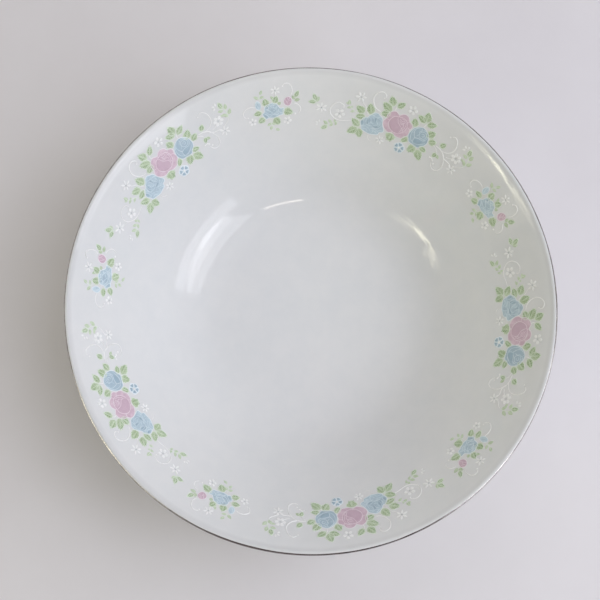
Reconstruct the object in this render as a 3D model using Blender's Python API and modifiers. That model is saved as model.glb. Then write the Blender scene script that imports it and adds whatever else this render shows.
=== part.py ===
"""Round open porcelain serving bowl with overglaze flower sprays and a platinum rim line.

Frame: +Z up, origin on the bowl's axis in the plane that the foot ring rests on.
Film coordinates on the inner wall are millimetres: "along" runs clockwise round the
bowl as seen from above, "up" runs up the wall towards the lip.
"""
import math

import bpy
import bmesh
from mathutils import Vector

MM = 0.001

# ---- Driving dimensions, in millimetres and degrees -------------------------------
RIM_DIAMETER = 229.0          # over the platinum line
BOWL_HEIGHT = 68.5            # resting plane to the top of the platinum line
FOOT_DIAMETER = 112.0         # outside of the foot ring at its resting face
FOOT_FACE_WIDTH = 2.6         # flat ground face that the bowl rests on
FOOT_RECESS = 4.4             # height of the underside above the resting plane

LIP_ROUND = 1.35              # radius of the rounded lip, so the lip is twice this thick
WALL_THICKNESS = 3.6          # porcelain wall half way up
BASE_THICKNESS = 4.0          # porcelain under the floor

BAND_GAP = 0.35               # clear space between the lip and the platinum line
BAND_THICKNESS = 0.25
BAND_INNER_END = 112.0        # the band wraps the lip between these two directions,
BAND_OUTER_END = -12.0        # measured from straight outwards, upwards positive

FILM_GAP = 0.45               # clear space between the glaze and a decoration film
FILM_THICKNESS = 0.25
FILM_RADIUS = 99.6            # radius of the circle that the sprays are centred on

# Slope of the inner wall against its radius: a nearly flat floor, a round lower wall,
# a long straight flare and a narrow lip that turns outwards.
INNER_SLOPES = (
    (0.0, 0.0),
    (38.0, 1.0),
    (48.0, 7.0),
    (58.0, 21.0),
    (68.0, 38.0),
    (76.0, 47.5),
    (83.0, 50.5),
    (100.0, 51.0),
    (107.0, 50.8),
    (109.2, 49.0),
    (110.4, 46.5),
    (111.2, 42.5),
    (111.84, 32.0),
)

# Directions of the hand-placed sprays round the bowl, anticlockwise from +X.
LARGE_SPRAY_AZIMUTHS = (64.4, 135.5, 208.1, 280.5, 352.7)
SMALL_SPRAY_AZIMUTHS = (29.5, 100.9, 172.3, 244.9, 317.6)

# Outline of each spray's film: (along, lower edge, upper edge).
LARGE_SPRAY_OUTLINE = (
    (-43.0, -1.0, 3.5),
    (-38.0, -6.5, 8.0),
    (-28.0, -7.0, 9.0),
    (-18.0, -7.5, 11.5),
    (-9.0, -11.0, 14.0),
    (0.0, -14.0, 14.5),
    (8.0, -14.0, 15.0),
    (16.0, -10.5, 12.0),
    (24.0, -8.5, 10.0),
    (32.0, -8.0, 9.0),
    (38.0, -5.5, 7.0),
    (42.5, -1.0, 3.0),
)
SMALL_SPRAY_OUTLINE = (
    (-15.0, -1.5, 2.5),
    (-11.0, -7.0, 7.0),
    (-4.0, -9.5, 11.0),
    (3.0, -9.5, 13.0),
    (9.0, -6.0, 12.0),
    (14.0, -1.0, 4.5),
)

# ---- Fineness ---------------------------------------------------------------------
TURN_STEPS = 96
FINE_SLICES = 400             # slices used to add up the wall's slope
SPAN_POINTS = 2               # profile points for each stretch between two slope entries
LIP_POINTS = 7
BAND_POINTS = 7
FILM_COLUMNS = 26
FILM_ROWS = 4


def smooth_between(pairs, x):
    """Value at x of a smooth curve through (x, value) pairs, by Catmull-Rom tangents."""
    last = len(pairs) - 1
    i = 0
    while i < last - 1 and x > pairs[i + 1][0]:
        i += 1
    x0, y0 = pairs[i]
    x1, y1 = pairs[i + 1]

    def tangent(k):
        lower = max(k - 1, 0)
        upper = min(k + 1, last)
        return (pairs[upper][1] - pairs[lower][1]) / (pairs[upper][0] - pairs[lower][0])

    span = x1 - x0
    t = min(max((x - x0) / span, 0.0), 1.0)
    bend0 = tangent(i) * span
    bend1 = tangent(i + 1) * span
    return ((2 * t**3 - 3 * t**2 + 1) * y0 + (t**3 - 2 * t**2 + t) * bend0
            + (3 * t**2 - 2 * t**3) * y1 + (t**3 - t**2) * bend1)


# ---- The bowl's section, all as (radius, height) in millimetres -------------------
LIP_CENTRE = (
    RIM_DIAMETER / 2 - BAND_THICKNESS - BAND_GAP - LIP_ROUND,
    BOWL_HEIGHT - BAND_THICKNESS - BAND_GAP - LIP_ROUND,
)


def slope_at(radius):
    """Angle of the inner wall above the horizontal, in radians."""
    return math.radians(max(smooth_between(INNER_SLOPES, radius), 0.0))


def inner_end():
    """Where the inner wall runs into the rounded lip."""
    slope = slope_at(INNER_SLOPES[-1][0])
    return (LIP_CENTRE[0] - LIP_ROUND * math.sin(slope),
            LIP_CENTRE[1] + LIP_ROUND * math.cos(slope))


def inner_height(radius):
    """Height of the inner surface, by adding up the slope from the lip inwards."""
    end_radius, height = inner_end()
    step = (end_radius - radius) / FINE_SLICES
    for i in range(FINE_SLICES):
        height -= step * math.tan(slope_at(end_radius - (i + 0.5) * step))
    return height


def wall_thickness(radius):
    """Thickness of the porcelain, measured square to the inner surface."""
    return smooth_between((
        (0.0, BASE_THICKNESS),
        (FOOT_DIAMETER / 2, BASE_THICKNESS + 0.2),
        (85.0, WALL_THICKNESS),
        (inner_end()[0], 2 * LIP_ROUND),
    ), radius)


def inner_radii():
    """Radii of the inner profile points, from the axis to the lip."""
    radii = [0.0]
    stops = [pair[0] for pair in INNER_SLOPES[:-1]] + [inner_end()[0]]
    for start, stop in zip(stops, stops[1:]):
        for k in range(1, SPAN_POINTS + 1):
            radii.append(start + (stop - start) * k / SPAN_POINTS)
    return radii


def arc(centre, radius, start, stop, points):
    """Points of an arc between two directions in degrees."""
    result = []
    for k in range(points):
        angle = math.radians(start + (stop - start) * k / (points - 1))
        result.append((centre[0] + radius * math.cos(angle),
                       centre[1] + radius * math.sin(angle)))
    return result


def foot_profile():
    """The foot ring, from its junction with the wall down and under to the axis."""
    outer = FOOT_DIAMETER / 2
    inner = outer - FOOT_FACE_WIDTH
    return [
        (outer + 2.6, 7.2),
        (outer + 1.6, 5.4),
        (outer + 1.0, 2.6),
        (outer + 0.6, 0.6),
        (outer, 0.0),
        (inner, 0.0),
        (inner - 0.6, 0.6),
        (inner - 1.2, FOOT_RECESS - 1.6),
        (inner - 3.0, FOOT_RECESS - 0.3),
        (inner - 7.0, FOOT_RECESS),
        (0.0, FOOT_RECESS),
    ]


def bowl_profile():
    """Closed section of the bowl: floor, inner wall, lip, outer wall, foot, underside."""
    inside = [(radius, inner_height(radius)) for radius in inner_radii()]
    lip_slope = math.degrees(slope_at(INNER_SLOPES[-1][0]))
    lip = arc(LIP_CENTRE, LIP_ROUND, 90 + lip_slope, lip_slope - 90, LIP_POINTS)
    outside = []
    for radius, height in reversed(inside[:-1]):
        slope = slope_at(radius)
        thickness = wall_thickness(radius)
        point = (radius + thickness * math.sin(slope),
                 height - thickness * math.cos(slope))
        if point[0] < FOOT_DIAMETER / 2 + 4.0:
            break
        outside.append(point)
    return inside + lip[1:] + outside + foot_profile()


# ---- Building ---------------------------------------------------------------------
def clear_scene():
    for existing in list(bpy.data.objects):
        bpy.data.objects.remove(existing, do_unlink=True)


def make_material(name, colour, roughness, metallic):
    material = bpy.data.materials.new(name)
    material.use_nodes = True
    shader = material.node_tree.nodes["Principled BSDF"]
    shader.inputs["Base Color"].default_value = (*colour, 1.0)
    shader.inputs["Roughness"].default_value = roughness
    shader.inputs["Metallic"].default_value = metallic
    material.diffuse_color = (*colour, 1.0)
    return material


def add_object(name, mesh, material, collection):
    piece = bpy.data.objects.new(name, mesh)
    piece.data.materials.append(material)
    collection.objects.link(piece)
    return piece


def turned(name, profile, material, collection):
    """A profile of (radius, height) points, turned round the bowl's axis."""
    mesh = bpy.data.meshes.new(name)
    points = [(radius * MM, 0.0, height * MM) for radius, height in profile]
    edges = [(i, i + 1) for i in range(len(points) - 1)]
    mesh.from_pydata(points, edges, [])
    piece = add_object(name, mesh, material, collection)
    screw = piece.modifiers.new("turn", "SCREW")
    screw.axis = "Z"
    screw.angle = math.tau
    screw.steps = TURN_STEPS
    screw.render_steps = TURN_STEPS
    screw.use_merge_vertices = True
    screw.merge_threshold = 0.00001
    screw.use_smooth_shade = True
    return piece


def on_inner_wall(azimuth, along, up, lift):
    """Point above the inner wall, from film coordinates and a height above the glaze."""
    radius = FILM_RADIUS + up * math.cos(slope_at(FILM_RADIUS + 0.35 * up))
    slope = slope_at(radius)
    turn = math.radians(azimuth) - along / FILM_RADIUS
    out = radius - lift * math.sin(slope)
    height = inner_height(radius) + lift * math.cos(slope)
    return Vector((out * math.cos(turn), out * math.sin(turn), height)) * MM


def film_mesh(name, outline, azimuth):
    """Open sheet that follows the inner wall inside an outline."""
    lower_edge = [(row[0], row[1]) for row in outline]
    upper_edge = [(row[0], row[2]) for row in outline]
    start = outline[0][0]
    stop = outline[-1][0]
    sheet = bmesh.new()
    columns = []
    for i in range(FILM_COLUMNS + 1):
        along = start + (stop - start) * i / FILM_COLUMNS
        lower = smooth_between(lower_edge, along)
        upper = smooth_between(upper_edge, along)
        column = []
        for j in range(FILM_ROWS + 1):
            up = lower + (upper - lower) * j / FILM_ROWS
            column.append(sheet.verts.new(on_inner_wall(azimuth, along, up, FILM_GAP)))
        columns.append(column)
    for left, right in zip(columns, columns[1:]):
        for j in range(FILM_ROWS):
            sheet.faces.new((left[j], left[j + 1], right[j + 1], right[j]))
    mesh = bpy.data.meshes.new(name)
    bmesh.ops.recalc_face_normals(sheet, faces=sheet.faces)
    sheet.normal_update()
    if sum(face.normal.z for face in sheet.faces) < 0:
        bmesh.ops.reverse_faces(sheet, faces=sheet.faces)
    sheet.to_mesh(mesh)
    sheet.free()
    return mesh


def thicken(piece, thickness):
    """Give an open sheet its thickness on the side that its faces look to."""
    solidify = piece.modifiers.new("thickness", "SOLIDIFY")
    solidify.thickness = thickness * MM
    solidify.offset = 1.0
    solidify.use_even_offset = True


def build_bowl_body(collection):
    porcelain = make_material("porcelain_glaze", (0.83, 0.84, 0.84), 0.08, 0.0)
    turned("bowl_body", bowl_profile(), porcelain, collection)


def build_rim_band(collection):
    platinum = make_material("platinum_line", (0.62, 0.60, 0.57), 0.22, 1.0)
    profile = arc(LIP_CENTRE, LIP_ROUND + BAND_GAP, BAND_INNER_END, BAND_OUTER_END,
                  BAND_POINTS)
    band = turned("rim_band", profile, platinum, collection)
    thicken(band, BAND_THICKNESS)


def build_sprays(collection):
    enamel = make_material("overglaze_enamel", (0.45, 0.60, 0.70), 0.3, 0.0)
    kinds = (
        ("large_spray", LARGE_SPRAY_AZIMUTHS, LARGE_SPRAY_OUTLINE),
        ("small_spray", SMALL_SPRAY_AZIMUTHS, SMALL_SPRAY_OUTLINE),
    )
    for kind, azimuths, outline in kinds:
        for number, azimuth in enumerate(azimuths, start=1):
            name = f"{kind}_{number}"
            mesh = film_mesh(name, outline, azimuth)
            mesh.shade_smooth()
            film = add_object(name, mesh, enamel, collection)
            thicken(film, FILM_THICKNESS)


def main():
    clear_scene()
    collection = bpy.data.collections.new("porcelain_serving_bowl")
    bpy.context.scene.collection.children.link(collection)
    build_bowl_body(collection)
    build_rim_band(collection)
    build_sprays(collection)


main()
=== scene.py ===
"""Looks of the round porcelain serving bowl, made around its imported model.

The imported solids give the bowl's section, its rim, its foot and the places of the films.
Everything that shows is made here: the fine turned body, the platinum line, and the
overglaze flower sprays as thin raised enamel that follows the inner wall.
Film coordinates (along, up) are millimetres: "along" runs clockwise round the bowl as
seen from above, measured on the circle of FILM_RADIUS, and "up" runs up the wall.
"""
import math

import bpy
import numpy as np
from mathutils import Matrix, Vector
from mathutils.geometry import delaunay_2d_cdt


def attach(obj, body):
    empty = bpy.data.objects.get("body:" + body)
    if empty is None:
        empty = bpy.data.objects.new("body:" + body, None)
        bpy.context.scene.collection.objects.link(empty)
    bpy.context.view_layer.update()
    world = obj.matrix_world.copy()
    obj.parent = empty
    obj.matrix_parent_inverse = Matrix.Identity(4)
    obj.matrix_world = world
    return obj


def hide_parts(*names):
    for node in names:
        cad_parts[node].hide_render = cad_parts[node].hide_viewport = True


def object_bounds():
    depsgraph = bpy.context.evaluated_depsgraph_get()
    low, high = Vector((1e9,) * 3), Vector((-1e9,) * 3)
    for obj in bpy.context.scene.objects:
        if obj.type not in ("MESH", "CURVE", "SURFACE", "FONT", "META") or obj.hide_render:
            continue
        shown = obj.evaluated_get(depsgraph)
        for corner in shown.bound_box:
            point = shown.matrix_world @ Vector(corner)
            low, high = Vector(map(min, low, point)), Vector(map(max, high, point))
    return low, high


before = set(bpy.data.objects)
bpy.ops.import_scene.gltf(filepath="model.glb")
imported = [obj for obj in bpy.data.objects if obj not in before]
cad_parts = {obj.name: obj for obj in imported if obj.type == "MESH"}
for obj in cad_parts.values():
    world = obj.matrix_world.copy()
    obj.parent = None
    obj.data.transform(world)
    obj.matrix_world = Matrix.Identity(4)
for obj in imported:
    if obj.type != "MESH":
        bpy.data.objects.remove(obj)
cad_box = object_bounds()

MM = 0.001

# ---- Camera ----
CAMERA_TILT = 9.67  # degrees off the vertical
CAMERA_AZIMUTH = 255.0  # the side that it leans to, anticlockwise from +X
CAMERA_DISTANCE = 397.5  # from the middle of the rim, mm
CAMERA_LENS = 51.58  # on a 36 mm sensor
CAMERA_AIM = (-5.9, -0.03)  # the point in the rim's plane that it looks at, mm

# ---- Lights ----
# A panel reaches between two directions from the bowl, (azimuth, elevation) in degrees.
# name, start, end, width across in m, outline, watts, colour
LIGHT_DISTANCE = 1.2  # metres
WINDOW_WHITE = (0.93, 0.95, 1.0)
LAMP_WHITE = (1.0, 0.95, 0.72)
SOFT_LIGHTS = (
    ("soft_window", (309, 32), (0, 36), 0.9, "RECTANGLE", 3.5, (0.83, 0.86, 1.0)),
    ("soft_right", (335, 50), (25, 50), 1.1, "RECTANGLE", 6.4, (0.87, 0.89, 1.0)),
    ("soft_back", (55, 45), (105, 45), 0.8, "RECTANGLE", 1.4, (1.0, 0.94, 0.98)),
    ("soft_lamp", (196, 22), (218, 22), 0.4, "RECTANGLE", 2.0, (1.0, 0.97, 0.58)),
)
# What the glaze and the platinum mirror: a window of two panes, a ribbed lamp shade, two
# small lamps. They stand further off, and are larger and stronger by as much.
MIRRORED_REACH = 2.5
WINDOW_LIGHTS = (
    ("window_outer", (310, 16.8), (358, 21), 0.31, "RECTANGLE", 1.7, WINDOW_WHITE),
    ("window_inner", (313, 37), (0, 43.5), 0.53, "RECTANGLE", 2.0, WINDOW_WHITE),
    ("window_glow", (314, 30), (0, 35), 0.30, "ELLIPSE", 0.85, WINDOW_WHITE),
    ("window_core", (315, 25), (354, 29), 0.14, "ELLIPSE", 0.30, WINDOW_WHITE),
    ("window_glare", (322, 27.5), (338, 28), 0.16, "ELLIPSE", 0.24, WINDOW_WHITE),
)
LAMP_HUB = (203, 15)
LAMP_RIBS = (  # start, end, width across in m, watts
    (LAMP_HUB, (230, 30), 0.10, 0.22),
    (LAMP_HUB, (226, 24), 0.05, 0.16),
    (LAMP_HUB, (224, 19), 0.04, 0.14),
    (LAMP_HUB, (222, 11.5), 0.08, 0.05),
    ((205, 18.5), (214.5, 19.3), 0.05, 0.15),
    ((205.5, 17), (214, 16.6), 0.02, 0.04),
    (LAMP_HUB, (201, 28), 0.09, 0.11),
    (LAMP_HUB, (193.5, 23.5), 0.10, 0.19),
    (LAMP_HUB, (190, 17.5), 0.12, 0.11),
    (LAMP_HUB, (193.5, 8), 0.18, 0.07),
    (LAMP_HUB, (209.5, 7), 0.06, 0.01),
)
SMALL_LAMPS = (
    ("tube", (276, 47), (299, 48), 0.075, "RECTANGLE", 0.45, (1.0, 0.87, 0.76)),
    ("night_light", (6, 15.5), (11, 15.5), 0.09, "ELLIPSE", 0.07, LAMP_WHITE),
)
MIRRORED_LIGHTS = (
    *WINDOW_LIGHTS,
    *((f"lamp_rib_{number}", start, end, width, "ELLIPSE", watts, LAMP_WHITE)
      for number, (start, end, width, watts) in enumerate(LAMP_RIBS, start=1)),
    *SMALL_LAMPS,
)
ROOM_COLOUR = (1.0, 0.97, 0.93)
ROOM_STRENGTH = 0.40
FLOOR_HALF = 3.0  # metres from the middle to the floor's edge

# ---- Films: the sprays' circle and the listed azimuths ----
FILM_RADIUS = 99.6
FILM_STRETCH = 0.0045  # per mm: the transfers stretch towards the lip
LARGE_AZIMUTHS = (64.4, 135.5, 208.1, 280.5, 352.7)
SMALL_AZIMUTHS = (29.5, 100.9, 172.3, 244.9, 317.6)


# ---- The bowl's section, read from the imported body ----
def packed_profile(node):
    """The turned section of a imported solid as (radius, height) in mm, floor to base."""
    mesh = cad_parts[node].data
    keys = {}
    for vertex in mesh.vertices:
        x, y, z = vertex.co
        if abs(y) < 2e-6 and x > -2e-6:
            keys[vertex.index] = (round(x / MM, 2), round(z / MM, 2))
    links = {}
    for edge in mesh.edges:
        a, b = edge.vertices
        if a in keys and b in keys and keys[a] != keys[b]:
            links.setdefault(keys[a], set()).add(keys[b])
            links.setdefault(keys[b], set()).add(keys[a])
    here = max((key for key in links if key[0] < 0.01), key=lambda key: key[1])
    walk = [here]
    before = None
    while True:
        onward = [key for key in links[here] if key != before and key not in walk]
        if not onward:
            return walk
        before = here
        here = max(onward, key=lambda key: -math.dist(key, before))
        walk.append(here)


CORNER_ANGLE = 38.0  # a sharper turn of the section stays a corner


def faired(points, pieces):
    """A smooth curve through the points, which keeps sharp corners."""
    dense = np.array(points, float)
    steps = np.diff(dense, axis=0)
    lengths = np.hypot(steps[:, 0], steps[:, 1])
    heading = steps / lengths[:, None]
    result = [tuple(dense[0])]
    for i in range(len(steps)):
        ends = []
        for before, after in ((i - 1, i), (i, i + 1)):
            if before < 0 or after >= len(steps):
                ends.append(heading[i])
                continue
            turn = math.degrees(math.acos(np.clip(heading[before] @ heading[after], -1, 1)))
            if turn > CORNER_ANGLE:
                ends.append(heading[i])
                continue
            mixed = heading[before] / lengths[before] + heading[after] / lengths[after]
            ends.append(mixed / np.linalg.norm(mixed))
        for k in range(1, pieces + 1):
            t = k / pieces
            point = ((2 * t**3 - 3 * t**2 + 1) * dense[i]
                     + (t**3 - 2 * t**2 + t) * ends[0] * lengths[i]
                     + (3 * t**2 - 2 * t**3) * dense[i + 1]
                     + (t**3 - t**2) * ends[1] * lengths[i])
            result.append((max(point[0], 0.0), point[1]))
    return result


def grown_to_rim(section):
    """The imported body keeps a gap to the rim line's film; the real glaze reaches it."""
    wider = cad_box[1][0] / MM / max(r for r, h in section)
    taller = cad_box[1][2] / MM / max(h for r, h in section)
    return [(r * wider, h * taller) for r, h in section]


SECTION = grown_to_rim(faired(packed_profile("bowl_body"), 4))
LIP_TOP = max(range(len(SECTION)), key=lambda i: SECTION[i][1])
INNER = np.array(SECTION[:LIP_TOP + 1])
INNER_RADIUS = INNER[:, 0]
INNER_HEIGHT = INNER[:, 1]
INNER_LENGTH = np.concatenate(([0.0], np.cumsum(np.hypot(*np.diff(INNER, axis=0).T))))
INNER_SLOPE = np.arctan2(np.gradient(INNER_HEIGHT), np.gradient(INNER_RADIUS))
LENGTH_AT_FILM = np.interp(FILM_RADIUS, INNER_RADIUS, INNER_LENGTH)


def on_wall(azimuth, film):
    """World points for rows of (along, up, lift), lift standing off the glaze, in mm."""
    film = np.asarray(film, float)
    length = LENGTH_AT_FILM + film[:, 1] + FILM_STRETCH * np.maximum(film[:, 1], 0) ** 2
    radius = np.interp(length, INNER_LENGTH, INNER_RADIUS)
    height = np.interp(length, INNER_LENGTH, INNER_HEIGHT)
    slope = np.interp(length, INNER_LENGTH, INNER_SLOPE)
    out = radius - film[:, 2] * np.sin(slope)
    turn = math.radians(azimuth) - film[:, 0] / FILM_RADIUS
    rise = height + film[:, 2] * np.cos(slope)
    return np.stack((out * np.cos(turn), out * np.sin(turn), rise), axis=1) * MM


# ---- Material helpers ----
def new_material(name, colour, roughness, metallic=0.0):
    """A Principled material; returns it with its tree and shader."""
    material = bpy.data.materials.new(name)
    material.use_nodes = True
    tree = material.node_tree
    shader = tree.nodes["Principled BSDF"]
    shader.inputs["Base Color"].default_value = (*colour, 1.0)
    shader.inputs["Roughness"].default_value = roughness
    shader.inputs["Metallic"].default_value = metallic
    return material, tree, shader


def add_noise(tree, coordinates, scale, detail=3.0, roughness=0.5):
    """Noise from 0 to 1, at a scale in cells per metre."""
    noise = tree.nodes.new("ShaderNodeTexNoise")
    noise.inputs["Scale"].default_value = scale
    noise.inputs["Detail"].default_value = detail
    noise.inputs["Roughness"].default_value = roughness
    tree.links.new(coordinates, noise.inputs["Vector"])
    return noise.outputs["Fac"]


def add_ramp(tree, factor, stops):
    """Colour ramp from (position, colour) stops."""
    ramp = tree.nodes.new("ShaderNodeValToRGB")
    elements = ramp.color_ramp.elements
    while len(elements) < len(stops):
        elements.new(0.5)
    for element, (position, colour) in zip(elements, stops):
        element.position = position
        element.color = (*colour, 1.0)
    tree.links.new(factor, ramp.inputs["Fac"])
    return ramp.outputs["Color"]


def add_mix(tree, factor, first, second, blend="MIX"):
    """Colour mix; first and second are sockets or plain colours."""
    mix = tree.nodes.new("ShaderNodeMix")
    mix.data_type = "RGBA"
    mix.blend_type = blend
    for socket, value in ((mix.inputs[0], factor), (mix.inputs[6], first), (mix.inputs[7], second)):
        if isinstance(value, bpy.types.NodeSocket):
            tree.links.new(value, socket)
        elif isinstance(value, tuple):
            socket.default_value = (*value, 1.0)
        else:
            socket.default_value = value
    return mix.outputs[2]


def add_math(tree, operation, first, second, clamp=False):
    """One sum; first and second are sockets or numbers."""
    node = tree.nodes.new("ShaderNodeMath")
    node.operation = operation
    node.use_clamp = clamp
    for socket, value in ((node.inputs[0], first), (node.inputs[1], second)):
        if isinstance(value, bpy.types.NodeSocket):
            tree.links.new(value, socket)
        else:
            socket.default_value = value
    return node.outputs[0]


def add_range(tree, value, low, high):
    """0 below low, 1 above high, and even in between."""
    node = tree.nodes.new("ShaderNodeMapRange")
    node.inputs["From Min"].default_value = low
    node.inputs["From Max"].default_value = high
    tree.links.new(value, node.inputs["Value"])
    return node.outputs["Result"]


def add_bump(tree, shader, height, distance):
    """Relief of the given depth in metres."""
    bump = tree.nodes.new("ShaderNodeBump")
    bump.inputs["Distance"].default_value = distance
    tree.links.new(height, bump.inputs["Height"])
    tree.links.new(bump.outputs["Normal"], shader.inputs["Normal"])


def object_coordinates(tree):
    return tree.nodes.new("ShaderNodeTexCoord").outputs["Object"]


def split_axes(tree, vector):
    """The X, Y and Z sockets of a vector socket."""
    split = tree.nodes.new("ShaderNodeSeparateXYZ")
    tree.links.new(vector, split.inputs[0])
    return split.outputs


# ---- Materials ----
GROUND_FACE = 0.00035  # the porcelain is bare below this height, m
LIP_SHADE = (0.0018, 0.0004)  # painted shade: the glaze is darkened between these depths below the top, m
LIP_PAINTED_SHADE = (0.90, 0.90, 0.90)
SPECK_CELLS = 62.0  # cells per metre that may each hold a speck
SPECK_RARITY = 0.93  # the share of them that stays empty
SPECK_RADIUS = 0.011  # in cells


def porcelain_material():
    """White porcelain under clear glaze, bare and dry on the foot ring's ground face."""
    material, tree, shader = new_material("porcelain_glaze", (0.72, 0.73, 0.73), 0.07)
    where = object_coordinates(tree)
    height = split_axes(tree, where)["Z"]
    bare = add_math(tree, "LESS_THAN", height, GROUND_FACE)

    drift = add_noise(tree, where, 14.0, 3.0)
    glaze = add_ramp(tree, drift, (
        (0.30, (0.700, 0.715, 0.715)),
        (0.70, (0.745, 0.748, 0.740)),
    ))
    cloud = add_noise(tree, where, 95.0, 4.0, 0.65)
    glaze = add_mix(tree, 0.35, glaze, add_ramp(tree, cloud, (
        (0.35, (0.690, 0.705, 0.710)),
        (0.65, (0.755, 0.758, 0.750)),
    )))

    cells = tree.nodes.new("ShaderNodeTexVoronoi")
    cells.inputs["Scale"].default_value = SPECK_CELLS
    tree.links.new(where, cells.inputs["Vector"])
    rare = add_math(tree, "GREATER_THAN", cells.outputs["Color"], SPECK_RARITY)
    small = add_math(tree, "LESS_THAN", cells.outputs["Distance"], SPECK_RADIUS)
    speck = add_math(tree, "MULTIPLY", rare, small)
    glaze = add_mix(tree, add_math(tree, "MULTIPLY", speck, 0.55), glaze, (0.16, 0.12, 0.09))

    # Painted shade: the glaze is multiplied darker just below the top of the lip.
    low, high = (cad_box[1][2] - depth for depth in LIP_SHADE)
    glaze = add_mix(tree, add_range(tree, height, low, high), glaze, LIP_PAINTED_SHADE, "MULTIPLY")

    grit = add_noise(tree, where, 2200.0, 2.0, 0.7)
    biscuit = add_ramp(tree, grit, (
        (0.3, (0.52, 0.49, 0.44)),
        (0.7, (0.68, 0.65, 0.60)),
    ))
    tree.links.new(add_mix(tree, bare, glaze, biscuit), shader.inputs["Base Color"])

    smear = add_math(tree, "MULTIPLY", add_noise(tree, where, 38.0, 4.0, 0.6), 0.05)
    wet = add_math(tree, "ADD", smear, 0.02)
    dry = add_math(tree, "MULTIPLY", bare, 0.62)
    tree.links.new(add_math(tree, "ADD", wet, dry, True), shader.inputs["Roughness"])

    sway = add_math(tree, "MULTIPLY", add_noise(tree, where, 26.0, 1.0), 0.85)
    peel = add_math(tree, "MULTIPLY", add_noise(tree, where, 420.0, 2.0), 0.05)
    add_bump(tree, shader, add_math(tree, "ADD", sway, peel), 0.00022)
    return material


FRONT_SHADE = (0.090, 0.106)  # painted dark reflection: the line darkens between these distances towards -Y, m
FRONT_PAINTED_REFLECTION = (0.42, 0.38, 0.40)
BACK_WAY = (0.57, 0.82)  # and a painted dark reflection between these distances in this direction
BACK_SHADE = (0.035, 0.060)
BACK_PAINTED_REFLECTION = (0.76, 0.74, 0.76)


def platinum_material():
    """Fired platinum lustre, rubbed thin in places, with painted dark reflections at the front and
    the back.
    """
    material, tree, shader = new_material("platinum_line", (0.56, 0.54, 0.52), 0.2, 1.0)
    where = object_coordinates(tree)
    wear = add_noise(tree, where, 240.0, 5.0, 0.7)
    tone = add_ramp(tree, wear, (
        (0.30, (0.36, 0.34, 0.34)),
        (0.52, (0.56, 0.54, 0.52)),
        (0.72, (0.70, 0.67, 0.63)),
    ))
    axes = split_axes(tree, where)
    # Painted dark reflections: the line is made darker towards -Y and towards the back along
    # BACK_WAY.
    front = add_math(tree, "MULTIPLY", axes["Y"], -1.0)
    tone = add_mix(tree, add_range(tree, front, *FRONT_SHADE), tone, FRONT_PAINTED_REFLECTION, "MULTIPLY")
    back = add_math(tree, "ADD", add_math(tree, "MULTIPLY", axes["X"], BACK_WAY[0]),
                    add_math(tree, "MULTIPLY", axes["Y"], BACK_WAY[1]))
    tone = add_mix(tree, add_range(tree, back, *BACK_SHADE), tone, BACK_PAINTED_REFLECTION, "MULTIPLY")
    tree.links.new(tone, shader.inputs["Base Color"])
    rough = add_math(tree, "MULTIPLY", add_noise(tree, where, 700.0, 4.0, 0.7), 0.35)
    tree.links.new(add_math(tree, "ADD", rough, 0.04), shader.inputs["Roughness"])
    add_bump(tree, shader, add_noise(tree, where, 1500.0, 3.0), 0.00002)
    return material


def enamel_material(name, halo, pale, middle, deep, roughness):
    """Overglaze enamel; the mesh's "tone" runs from nearly white at 0 to deep at 1."""
    material, tree, shader = new_material(name, middle, roughness)
    where = object_coordinates(tree)
    attribute = tree.nodes.new("ShaderNodeAttribute")
    attribute.attribute_type = "GEOMETRY"
    attribute.attribute_name = "tone"
    stipple = add_noise(tree, where, 1900.0, 3.0, 0.7)
    shift = add_math(tree, "MULTIPLY", add_math(tree, "SUBTRACT", stipple, 0.5), 0.35)
    brushed = add_noise(tree, where, 420.0, 2.0)
    shift = add_math(tree, "ADD", shift,
                     add_math(tree, "MULTIPLY", add_math(tree, "SUBTRACT", brushed, 0.5), 0.5))
    tone = add_math(tree, "ADD", attribute.outputs["Fac"], shift, True)
    stops = ((0.0, halo), (0.16, pale), (0.5, middle), (1.0, deep))
    tree.links.new(add_ramp(tree, tone, stops), shader.inputs["Base Color"])
    tree.links.new(add_math(tree, "ADD", add_math(tree, "MULTIPLY", stipple, 0.2), roughness - 0.1),
                   shader.inputs["Roughness"])
    add_bump(tree, shader, stipple, 0.00003)
    return material


def paper_material():
    """Pale grey paper with faint blotches."""
    material, tree, shader = new_material("backdrop_paper", (0.70, 0.68, 0.69), 0.85)
    where = object_coordinates(tree)
    blotch = add_noise(tree, where, 9.0, 5.0, 0.6)
    tree.links.new(add_ramp(tree, blotch, (
        (0.3, (0.675, 0.655, 0.665)),
        (0.7, (0.715, 0.697, 0.708)),
    )), shader.inputs["Base Color"])
    return material


# ---- Flat drawing kit: patches and strokes of enamel in film coordinates ----
SUNK = -0.03  # edges of the enamel lie this far inside the glaze, mm
UNDERSIDE = SUNK - 0.02


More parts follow.
